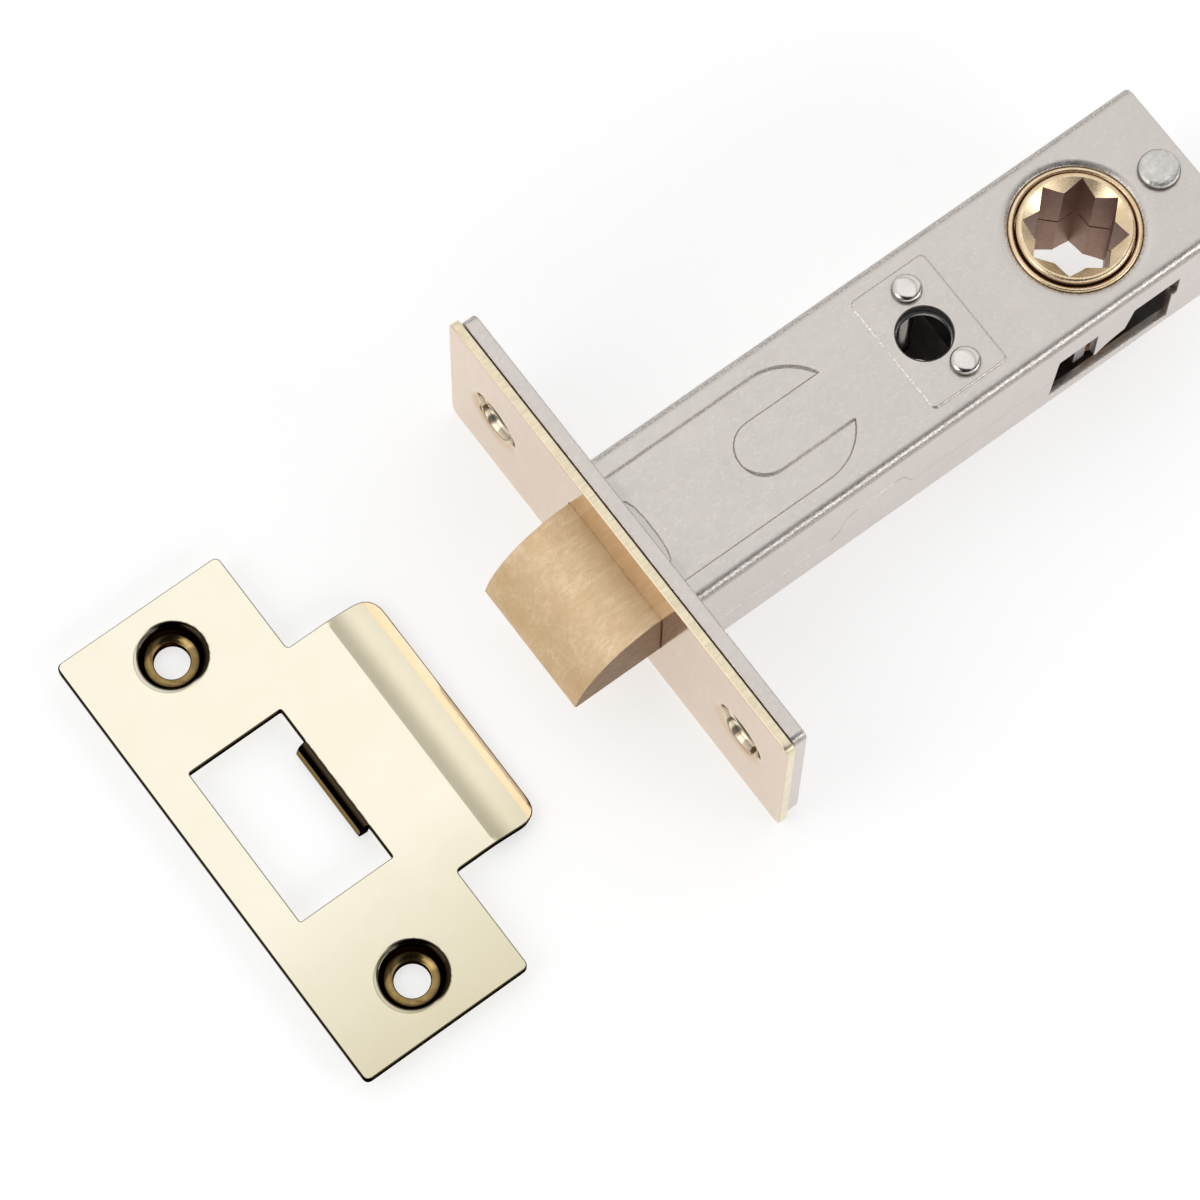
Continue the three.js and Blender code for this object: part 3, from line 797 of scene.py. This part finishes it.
def make_inner_forend():
    y, z, gap = BACKING_HIGH.y, BACKING_HIGH.z, 0.06
    way = rounded_box(-CASE_Y - gap, CASE_Y + gap, -CASE_Z - gap, CASE_Z + gap, CASE_CORNER)
    loops = [resampled(rounded_box(-y, y, -z, z, 1.0), 1.0), resampled(way, 1.0)]
    loops += [circle(side * SCREW_Y, 0, 4.55, 64) for side in (-1, 1)]

    def place(flat, depth):
        x = np.full(len(flat), BACKING_LOW.x) + depth
        return np.column_stack([x, flat[:, 0], flat[:, 1]])

    thick = BACKING_HIGH.x - BACKING_LOW.x
    obj = sheet("inner_forend_plate", loops, [], 1.5, place, thick, 0.2, flip=True)
    settle(obj, "nickel", "latch_case", "inner_forend")


# ---- case
SIDE_Y, SIDE_Z = CASE_Y - CASE_CORNER, CASE_Z - CASE_CORNER
CUT_Z = -6.2
ARC = math.pi / 2 * CASE_CORNER


class Wrap:
    """The case's section as one strip: up the far wall from the cut, over the upper face, down
    the near wall, back under the lower face, and up to the cut again. Flats and corners
    alternate, and a corner's centre stands still while its normal turns."""

    def __init__(self):
        y, z = SIDE_Y, SIDE_Z
        runs = [z - CUT_Z, ARC, 2 * y, ARC, 2 * z, ARC, 2 * y, ARC, CUT_Z + z]
        self.knots = np.cumsum([0.0, *runs])
        self.corner_starts, self.length = self.knots[1:8:2], self.knots[-1]
        self.turns = np.radians([0, 0, 90, 90, 180, 180, 270, 270, 360, 360])
        self.y = [y, y, y, -y, -y, -y, -y, y, y, y]
        self.z = [CUT_Z, z, z, z, z, -z, -z, -z, -z, CUT_Z]

    def upper(self, y):
        return self.knots[2] + SIDE_Y - y

    def near(self, z):
        return self.knots[4] + SIDE_Z - z

    def lower(self, y):
        return self.knots[6] + y + SIDE_Y

    def far(self, z):
        return z - CUT_Z

    def section(self, v):
        """Points and outward normals in y, z for places along the strip."""
        turn, y, z = (np.interp(v, self.knots, at) for at in (self.turns, self.y, self.z))
        ny, nz = np.cos(turn), np.sin(turn)
        return y + CASE_CORNER * ny, z + CASE_CORNER * nz, ny, nz


WRAP = Wrap()


def fork(inset):
    """The sunk fork's outline on a broad face, drawn in by an inset."""
    start, end, slot_x = 3.3, 22.4, 19.1
    half, slot = 7.0 - inset, 3.05 + inset
    mouth = math.degrees(math.asin(slot / half))
    return ([(start, -half)] + arc(end, 0, half, -90, -mouth, 14)
            + arc(slot_x, 0, slot, 270, 90, 20) + arc(end, 0, half, mouth, 90, 14)
            + [(start, half)])


def near_window():
    """The window in the near wall in x, z, where the yoke's lug travels."""
    slit = [Vector((60.0, -0.4)), Vector((57.6, -0.8)), Vector((56.05, -2.4))]
    curve = [tuple(slit[0].lerp(slit[1], t).lerp(slit[1].lerp(slit[2], t), t))
             for t in np.linspace(0, 1, 9)]
    return filleted([(50.3, -5.2), (60.2, -5.6), (66.3, -5.9), (66.3, 0.2), (66.6, -0.5),
                     (67.0, -0.3), (67.0, 3.4), (60.9, 3.4), *curve, (56.05, 3.4),
                     (50.9, 3.4)], 0.25)


def seam_line():
    """The folded sheet's joint along the near wall, with its dovetail step."""
    return [(2.0, -2.3), (21.2, -1.9), (22.2, -0.9), (22.6, 1.2), (24.2, 2.2), (30.2, 2.4),
            (30.8, 0.9), (31.4, -0.6), (33.0, -0.9), (50.3, -0.9)]


def stake_line():
    """The bowed mark of the staking tool behind the forend, on the upper face in x, y."""
    return [(3.95, 3.6), (4.3, 2.6), (4.45, 1.0), (4.45, -1.2), (4.3, -3.0), (3.95, -4.2)]


def beside(line, offset):
    """An open line moved sideways."""
    line = [Vector(p) for p in line]
    out = []
    for i, p in enumerate(line):
        a, b = line[max(i - 1, 0)], line[min(i + 1, len(line) - 1)]
        along = (b - a).normalized()
        out.append(tuple(p + Vector((-along.y, along.x)) * offset))
    return out


STEP = 0.22  # how wide the pressed steps in the case are
STEP_LINES = (-0.10, 0.0, 0.055, 0.11, 0.165, STEP, STEP + 0.10)
SEAM_HALF, STAKE_HALF = 0.1, 0.07  # half the width of the joint's and the stake's groove
SEAM_OPEN, SEAM_TIGHT, STAKE_DEPTH = 0.12, 0.05, 0.06
RIM_FALL, RIM_CURVE = 0.32, 2.4  # how the faces fall to the follower's holes


def make_case():
    w, x0, x1 = WRAP, CASE_LOW.x, CASE_HIGH.x
    loops = [resampled([(x0, 0), (x1, 0), (x1, w.length), (x0, w.length)], 0.8)]
    lines = []
    for start in w.corner_starts:
        for k in range(7):
            v = start + ARC * k / 6
            lines.append(open_line([(x0, v), (x1, v)], 0.8))
    holes = [(THROUGH_X, 0, THROUGH_R), (FOLLOWER_X, 0, HOLE_R),
             (REAR_RIVET_X, 0, REAR_RIVET_HOLE_R),
             (RIVET_X, -RIVET_Y, RIVET_HOLE_R), (RIVET_X, RIVET_Y, RIVET_HOLE_R)]
    forks, pads, rims = [], [], []
    for level, side in ((w.upper, -1), (w.lower, 1)):
        middle = level(0)
        loops += [circle(x, level(y), r, max(40, int(r * 16))) for x, y, r in holes]
        rims.append((FOLLOWER_X, middle))
        for extra in (0.35, 0.55, 0.8, 1.0):
            lines.append((circle(FOLLOWER_X, middle, HOLE_R + extra, 110), True))
        for inset in STEP_LINES:
            shape = [(x, middle + side * y) for x, y in fork(inset)]
            lines.append((resampled(shape, 0.4), False))
            pad = rounded_box(PAD_X0 + inset, PAD_X1 - inset, middle - PAD_Y + inset,
                              middle + PAD_Y - inset, PAD_CORNER - inset)
            lines.append(closed_line(pad, 0.5))
            if not inset:
                forks.append(shape)
                pads.append(pad)
    loops.append(resampled([(x, w.near(z)) for x, z in near_window()], 0.4))
    loops.append(resampled(rounded_box(50.3, 67.0, w.far(-5.2), w.far(5.2), 0.8), 0.6))
    seam = filleted([(x, w.near(z)) for x, z in seam_line()], 0.8, closed=False)
    stake = [(x, w.upper(y)) for x, y in stake_line()]
    for line, half, reach in ((seam, SEAM_HALF, 0.3), (stake, STAKE_HALF, 0.2)):
        lines += [open_line(beside(line, offset), 0.3)
                  for offset in (-reach, -half, 0, half, reach)]

    def place(flat, depth):
        u, v = flat[:, 0], flat[:, 1]
        height = np.zeros(len(flat))
        for shape in forks:
            fall = EMBOSS_DEPTH * smooth(distance(flat, shape) / STEP)
            height -= np.where(inside(flat, shape), fall, 0)
        for pad in pads:
            rise = PAD_RISE * smooth(distance(flat, pad) / STEP)
            height += np.where(inside(flat, pad), rise, 0)
        for cx, cy in rims:
            t = np.clip(np.hypot(u - cx, v - cy) - HOLE_R, 0, 1)
            height -= RIM_FALL * (1 - t) ** RIM_CURVE
        groove = np.interp(u, (30.9, 31.6), (SEAM_OPEN, SEAM_TIGHT))
        height -= groove * np.clip(1 - distance(flat, seam, False) / SEAM_HALF, 0, 1)
        height -= STAKE_DEPTH * np.clip(1 - distance(flat, stake, False) / STAKE_HALF, 0, 1)
        y, z, ny, nz = w.section(v)
        out = height - depth
        return np.column_stack([u, y + ny * out, z + nz * out])

    def meets(flat):
        return (flat[:, 1] < 1e-6) | (flat[:, 1] > w.length - 1e-6)

    # The through hole's wall, which gets painted shade.
    def in_way(flat):
        return np.any([np.hypot(flat[:, 0] - THROUGH_X, flat[:, 1] - level(0)) < THROUGH_R + 0.02
                       for level in (w.upper, w.lower)], axis=0)

    obj = sheet("case_shell", loops, lines, 0.8, place, WALL, 0.13, flip=True, joined=meets,
                zone=in_way, sharp=50)
    # The inner face and the through hole's wall are painted in shade.
    settle(obj, "nickel", "latch_case", "case_tube", within="inside", sunk="inside")


# ---- bolt and yoke
def make_bolt():
    radius = (THROW ** 2 + (2 * BOLT_Z) ** 2) / (4 * BOLT_Z)
    sweep = math.degrees(math.asin(THROW / radius))
    slot, slot_x, tail = 0.75, 8.6, HEAD_HIGH.x
    outline = ([(-THROW, -BOLT_Z), (tail, -BOLT_Z), (tail, -slot), (slot_x, -slot),
                (slot_x, slot), (tail, slot), (tail, BOLT_Z)]
               + arc(0, BOLT_Z - radius, radius, 90, 90 + sweep, 40)[:-1])
    head = prism("bolt_block", outline, "y", -BOLT_Y, BOLT_Y)
    shoulder = prism("shoulder", rounded_box(3.2, 8.0, HEAD_LOW.z, HEAD_HIGH.z, 0.3), "y",
                     HEAD_LOW.y, HEAD_HIGH.y)
    boolean(head, shoulder, "UNION")
    drilled(head, PIN_X, 0, PIN_HOLE_R, 10)
    settle(softened(head, 0.16, 30, 3), "bolt", "bolt", "bolt_head")

    y, inner, end = YOKE_HIGH.y, YOKE_HIGH.y - 1.7, YOKE_HIGH.x
    start, tongue, bridge, rails = 9.0, 3.6, 13.6, 15.4
    plate = [(start, -tongue), (bridge, -tongue), (bridge, -y), (end, -y), (end, -inner),
             (rails, -inner), (rails, inner), (end, inner), (end, y), (bridge, y),
             (bridge, tongue), (start, tongue)]
    yoke = prism("yoke_frame", filleted(plate, 0.5), "z", -0.6, 0.6)
    for low, high, side in ((-4.3, 4.3, 1), (-4.7, 1.2, -1)):
        span = sorted((side * inner, side * y))
        lug = prism("lug", rounded_box(end - 1.5, end, low, high, 0.25), "y", *span)
        boolean(yoke, lug, "UNION")
    drilled(yoke, PIN_X, 0, PIN_HOLE_R, 3)
    settle(softened(yoke, 0.10, 30), "zinc", "bolt", "bolt_yoke")

    half = [(PIN_R, 4.2), (1.15, 4.38), (1.0, PIN_HALF), (0, PIN_HALF)]
    pin = turned("yoke_cross_pin", [(r, -h) for r, h in reversed(half)] + half,
                 centre=(PIN_X, 0, 0), sides=32)
    settle(softened(pin, 0), "zinc", "bolt", "yoke_pin")


# ---- springs, guides, bracket
SPRING_END = 35.8
# The guide's flange radius and thickness and its rod's radius, and the coil's radius, wire
# and turns.
MAIN_SPRING = (2.9, 0.9, 1.3, 2.0, 0.7, 7)
SIDE_SPRING = (1.6, 0.6, 0.65, 1.15, 0.45, 10)
SPRINGS = [("bolt_spring{}", 0.0, MAIN_SPRING), ("side_spring{}_left", 4.9, SIDE_SPRING),
           ("side_spring{}_right", -4.9, SIDE_SPRING)]


def make_springs():
    start, end = 15.5, SPRING_END - THROW - 0.3
    for name, y, (flange_r, flange, rod, *_) in SPRINGS:
        node = name.format("_guide")
        r = min(0.15, flange / 4)
        profile = [(0, start), (flange_r - r, start), (flange_r, start + r),
                   (flange_r, start + flange - r), (flange_r - r, start + flange),
                   (rod + 0.15, start + flange), (rod, start + flange + 0.15), (rod, end - 0.6),
                   (rod - 0.12, end - 0.25), (rod - 0.4, end), (0, end)]
        post = turned(node + "_post", profile, "x", (0, y, 0), 40)
        settle(softened(post, 0), "zinc", "bolt", node)
    for name, y, (_, flange, _, r, wire, turns) in SPRINGS:
        node = name.format("")
        at = start + flange + 0.02
        wound = coil(node + "_coil", at, SPRING_END, y, r, wire, turns)
        settle(wound, "wire", "latch_case", node)
        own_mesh(wound)


def make_bracket():
    low, high = mm_box("spring_bracket")
    thick, bend, x, z = 0.9, 1.3, low.x, high.z
    outline = (arc(x + bend, -z + bend, bend, 180, 270, 6)
               + [(high.x, -z), (high.x, thick - z)]
               + arc(x + bend, -z + bend, bend - thick, 270, 180, 4)
               + arc(x + bend, z - bend, bend - thick, 180, 90, 4)
               + [(high.x, z - thick), (high.x, z)]
               + arc(x + bend, z - bend, bend, 90, 180, 6))
    channel = prism("spring_bracket_channel", outline, "y", low.y, high.y)
    drilled(channel, THROUGH_X, 0, THROUGH_R - 0.1, 20)
    drilled(channel, RIVET_X, RIVET_Y, RIVET_HOLE_R, 20)
    drilled(channel, RIVET_X, -RIVET_Y, RIVET_HOLE_R, 20)
    settle(softened(channel, 0.10, 40), "zinc", "latch_case", "spring_bracket")


CROWN = [(1.0, 0.30), (0.985, 0.46), (0.94, 0.64), (0.87, 0.78), (0.77, 0.89), (0.66, 0.95),
         (0.56, 0.975), (0.3, 0.99), (0, 1.0)]  # a head's profile, from rim to middle
HEAD_TALL, HEAD_GAP = 0.72, 0.08


def make_rivets():
    rivets = [("bracket_rivet_left", RIVET_X, RIVET_Y, 1.2, 1.65, CASE_Z + PAD_RISE, "rivet"),
              ("bracket_rivet_right", RIVET_X, -RIVET_Y, 1.2, 1.65, CASE_Z + PAD_RISE, "rivet"),
              ("rear_rivet", REAR_RIVET_X, 0.0, 1.7, 2.3, CASE_Z, "stamped")]
    for node, x, y, shank, head, seat, look in rivets:
        under = seat + HEAD_GAP
        upper = [(shank, under), (head - 0.08, under), (head, under + 0.08)]
        upper += [(r * head, under + h * HEAD_TALL) for r, h in CROWN]
        lower = [(r, -h) for r, h in reversed(upper)]
        stem = turned(node + "_stem", lower + upper, centre=(x, y, 0), sides=56)
        settle(softened(stem, 0, 60), look, "latch_case", node)


# ---- follower
HUB_R, FLANGE_R, JOURNAL_R = 6.4, 7.5, 6.3
BORE_R, BUSH_FLANGE_R = 6.42, 8.2
HUB_LOW, FLANGE_LOW, FLANGE_HIGH, FOLLOWER_TOP = 0.15, 5.0, 6.55, 8.75
HORN_TURN, HORN_LOW, HORN_HIGH = 137, 1.0, 4.2


def star(tip=5.657, root=4.33):
    return [((root if i % 2 else tip) * math.cos(i * math.pi / 8),
             (root if i % 2 else tip) * math.sin(i * math.pi / 8)) for i in range(16)]


def horn_outline():
    reach, tip = 8.9, 0.75
    first = 180 + math.degrees(math.acos(0.4 / tip))
    return ([(5.0, 2.8), (5.6, 0.2), (7.4, -0.15)]
            + arc(reach, 0, tip, first, 450, 14))


def make_follower(label, side):
    r, top = 0.18, FOLLOWER_TOP
    profile = [(0, HUB_LOW), (HUB_R - r, HUB_LOW), (HUB_R, HUB_LOW + r), (HUB_R, FLANGE_LOW),
               (FLANGE_R - r, FLANGE_LOW), (FLANGE_R, FLANGE_LOW + r),
               (FLANGE_R, FLANGE_HIGH - r), (FLANGE_R - r, FLANGE_HIGH),
               (JOURNAL_R, FLANGE_HIGH), (JOURNAL_R, top - 0.42), (JOURNAL_R - 0.08, top - 0.2),
               (JOURNAL_R - 0.24, top - 0.06), (JOURNAL_R - 0.42, top), (0, top)]
    body = turned("follower_hub_" + label, profile, sides=96)
    for turn in (HORN_TURN, -HORN_TURN):
        a = math.radians(turn)
        shape = [(x, y if turn > 0 else -y) for x, y in filleted(horn_outline(), 0.3)]
        shape = [(x * math.cos(a) - y * math.sin(a), x * math.sin(a) + y * math.cos(a))
                 for x, y in shape]
        boolean(body, prism("horn", shape, "z", HORN_LOW, HORN_HIGH), "UNION")
    sink = turned("sink", [(0, top - 0.95), (4.35, top - 0.95), (5.72, top), (5.72, 12),
                           (0, 12)], sides=96)
    boolean(body, sink, "DIFFERENCE")
    boolean(body, prism("way", star(), "z", -1, 20), "DIFFERENCE")
    softened(body, 0.07, 30, 2)
    stand(body, side)
    settle(body, "follower", label + "_follower", "follower_" + label)

    inner = [(BORE_R, -0.55), (BORE_R + 0.1, -0.65), (BUSH_FLANGE_R - 0.1, -0.65),
             (BUSH_FLANGE_R, -0.55), (BUSH_FLANGE_R, -0.15), (BUSH_FLANGE_R - 0.1, -0.05),
             (7.13, -0.05)]
    outer = [(7.13, -0.42), (7.08, -0.28), (6.98, -0.18), (6.86, -0.14), (6.72, -0.16),
             (6.58, -0.24), (BORE_R, -0.40)]
    ring = [(r, CASE_Z - WALL + h) for r, h in inner] + [(r, CASE_Z + h) for r, h in outer]
    bush = turned("follower_bush_ring_" + label, ring, sides=96, ring=True)
    softened(bush, 0, 50)
    stand(bush, side)
    settle(bush, "follower", "latch_case", "follower_bush_" + label)


def stand(obj, side):
    """Moves a piece drawn about the follower's axis to its place, on the upper or lower side."""
    turn = Matrix.Rotation(0 if side > 0 else math.pi, 4, "X")
    move = Matrix.Translation(Vector((FOLLOWER_X, 0, 0)) * MM)
    home = Matrix.Translation(ORIGIN)
    obj.data.transform(home @ move @ turn @ home.inverted())


# ---- strike plate
def make_strike():
    centre = Vector((STRIKE_LOW.x + 10.4, (STRIKE_LOW.y + STRIKE_HIGH.y) / 2, 0))
    face = STRIKE_HIGH.z
    half_x, half_y, thick = 10.4, (STRIKE_HIGH.y - STRIKE_LOW.y) / 2, 1.2
    tab_y, flat, crease, lip_end = 15.1, half_x + 4.9, math.radians(8), math.radians(18)
    lip_r = (STRIKE_HIGH.x - centre.x - flat) / (math.sin(lip_end) - math.sin(crease))
    lip_x = flat + lip_r * (lip_end - crease)
    mouth_x, mouth_y = 5.9, 10.0
    tang_y, tang_r, tang_turn, tang_straight = 5.7, 1.3, math.radians(76), 1.1
    bend_x = mouth_x + 0.25
    tang_x = bend_x - tang_r * tang_turn
    screws = [(0, -21.55), (0, 21.55)]

    corners = [((half_x, tab_y), 0.5), ((half_x, half_y), 0.8), ((-half_x, half_y), 0.8),
               ((-half_x, -half_y), 0.8), ((half_x, -half_y), 0.8), ((half_x, -tab_y), 0.5),
               ((lip_x, -tab_y), 2.5), ((lip_x, tab_y), 2.5)]
    rounded = []
    for i, (p, r) in enumerate(corners):
        before, after = corners[i - 1][0], corners[(i + 1) % len(corners)][0]
        rounded += filleted([before, p, after], r, closed=False, steps=7)[1:-1]
    end = tang_x - tang_straight
    mouth = filleted([(-mouth_x, -mouth_y), (mouth_x, -mouth_y), (mouth_x, -tang_y),
                      (end, -tang_y), (end, tang_y), (mouth_x, tang_y), (mouth_x, mouth_y),
                      (-mouth_x, mouth_y)], 0.25)
    loops = [resampled(rounded, 0.7), resampled(mouth, 0.4)]
    loops += [circle(*c, SCREW_HOLE_R, 72) for c in screws]
    lines = seat_lines(screws)
    places = [flat - 0.12, flat, flat + 0.12] + [flat + (lip_x - flat) * k / 10
                                                 for k in range(1, 10)]
    lines += [open_line([(x, -tab_y), (x, tab_y)], 0.8) for x in places]
    for k in range(9):
        x = bend_x - tang_r * tang_turn * k / 8
        lines.append(open_line([(x, -tang_y), (x, tang_y)], 0.5))

    def place(points, depth):
        a, b = points[:, 0], points[:, 1]
        dip = sunk(points, screws)
        depth = depth * (1 - 0.11 * dip)  # the seats' metal is drawn thinner
        turn = crease + np.clip((a - flat) / lip_r, 0, None)
        beyond = a > flat + 1e-6
        x = np.where(beyond, flat + lip_r * (np.sin(turn) - math.sin(crease))
                     - depth * np.sin(turn), a)
        near = ~beyond & (a > flat - 1)
        x = np.where(near, a - depth * (a - flat + 1) * math.sin(crease), x)
        z = np.where(beyond, face + lip_r * (np.cos(turn) - math.cos(crease))
                     - depth * np.cos(turn), face - depth)
        tang = (np.abs(b) <= tang_y + 1e-6) & (a < bend_x) & (a > 0)
        bend = np.clip((bend_x - a) / tang_r, 0, tang_turn)
        rest = np.clip(tang_x - a, 0, None)
        inner = tang_r - depth
        x = np.where(tang, bend_x - inner * np.sin(bend) - rest * np.cos(bend), x)
        z = np.where(tang, face - tang_r + inner * np.cos(bend) - rest * np.sin(bend), z)
        return np.column_stack([centre.x + x, centre.y + b, z - dip])

    obj = sheet("strike_sheet", loops, lines, 1.0, place, thick, 0.16, zone=seat_zone(screws))
    settle(obj, "strike", "strike", "strike_plate", sunk="sink")


# ---- assembly
make_camera()
make_studio()
LOOKS = make_looks()
make_outer_forend()
make_inner_forend()
make_case()
make_bolt()
make_springs()
make_bracket()
make_rivets()
make_follower("upper", 1)
make_follower("lower", -1)
make_strike()

bpy.context.view_layer.update()
